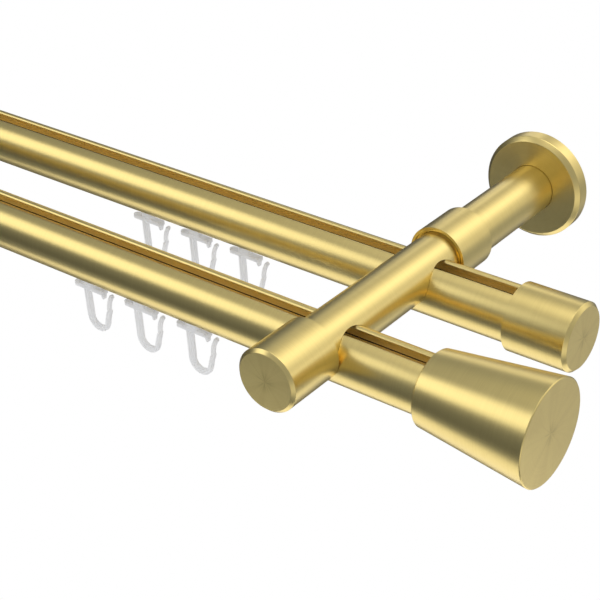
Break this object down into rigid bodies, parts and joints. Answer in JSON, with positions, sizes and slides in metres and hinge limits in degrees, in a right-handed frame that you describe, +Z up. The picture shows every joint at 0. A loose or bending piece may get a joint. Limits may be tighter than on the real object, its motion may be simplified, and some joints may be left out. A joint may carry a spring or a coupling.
{
  "type": "double curtain pole",
  "caption": "Double curtain pole: slotted rods one in front of the other on wall brackets, flared finials in front, plain caps behind, hooks on sliding gliders.",
  "frame": {"origin": "on the wall plane, midway between the two brackets, level with their arms' axes", "axes": "+X along the rods, to the right as seen from the room; +Y into the wall; +Z up"},
  "size_m": [0.6518, 0.1623, 0.0574],
  "materials": {
    "rod": "brass-coloured, brushed round the rod, satin",
    "bracket": "brushed brass, satin, end faces turned",
    "end_piece": "brushed brass, satin, end faces turned",
    "wall_base": "plain zinc-coated steel, hidden",
    "key": "plain turned steel, hidden",
    "screw": "plain steel",
    "glider": "moulded white plastic, slightly translucent"
  },
  "bodies": {
    "pole": {"front_rod": "rod", "rear_rod": "rod", "left_wall_base": "wall_base", "left_wall_cover": "bracket", "left_bracket_tube": "bracket", "left_sleeve": "bracket", "left_sleeve_screws": "screw", "left_arm": "bracket", "left_head_cap": "bracket", "left_head_cap_screw": "screw", "left_front_rod_key": "key", "left_rear_rod_key": "key", "left_finial": "end_piece", "left_finial_screw": "screw", "left_end_cap": "end_piece", "left_end_cap_screw": "screw", "right_wall_base": "wall_base", "right_wall_cover": "bracket", "right_bracket_tube": "bracket", "right_sleeve": "bracket", "right_sleeve_screws": "screw", "right_arm": "bracket", "right_head_cap": "bracket", "right_head_cap_screw": "screw", "right_front_rod_key": "key", "right_rear_rod_key": "key", "right_finial": "end_piece", "right_finial_screw": "screw", "right_end_cap": "end_piece", "right_end_cap_screw": "screw"},
    "front_glider_1": {"front_runner_1": "glider", "front_hook_1": "glider"},
    "front_glider_2": {"front_runner_2": "glider", "front_hook_2": "glider"},
    "front_glider_3": {"front_runner_3": "glider", "front_hook_3": "glider"},
    "rear_glider_1": {"rear_runner_1": "glider", "rear_hook_1": "glider"},
    "rear_glider_2": {"rear_runner_2": "glider", "rear_hook_2": "glider"},
    "rear_glider_3": {"rear_runner_3": "glider", "rear_hook_3": "glider"}
  },
  "joints": [
    {"name": "front_glider_1_slide", "type": "slide", "parent": "pole", "child": "front_glider_1", "axis": [1, 0, 0], "range_m": [-0.41775, 0.00295]},
    {"name": "front_glider_2_slide", "type": "slide", "parent": "pole", "child": "front_glider_2", "axis": [1, 0, 0], "range_m": [-0.00295, 0.00295]},
    {"name": "front_glider_3_slide", "type": "slide", "parent": "pole", "child": "front_glider_3", "axis": [1, 0, 0], "range_m": [-0.00295, 0.09625]},
    {"name": "rear_glider_1_slide", "type": "slide", "parent": "pole", "child": "rear_glider_1", "axis": [1, 0, 0], "range_m": [-0.3986, 0.00295]},
    {"name": "rear_glider_2_slide", "type": "slide", "parent": "pole", "child": "rear_glider_2", "axis": [1, 0, 0], "range_m": [-0.00295, 0.00295]},
    {"name": "rear_glider_3_slide", "type": "slide", "parent": "pole", "child": "rear_glider_3", "axis": [1, 0, 0], "range_m": [-0.00295, 0.1154]}
  ]
}
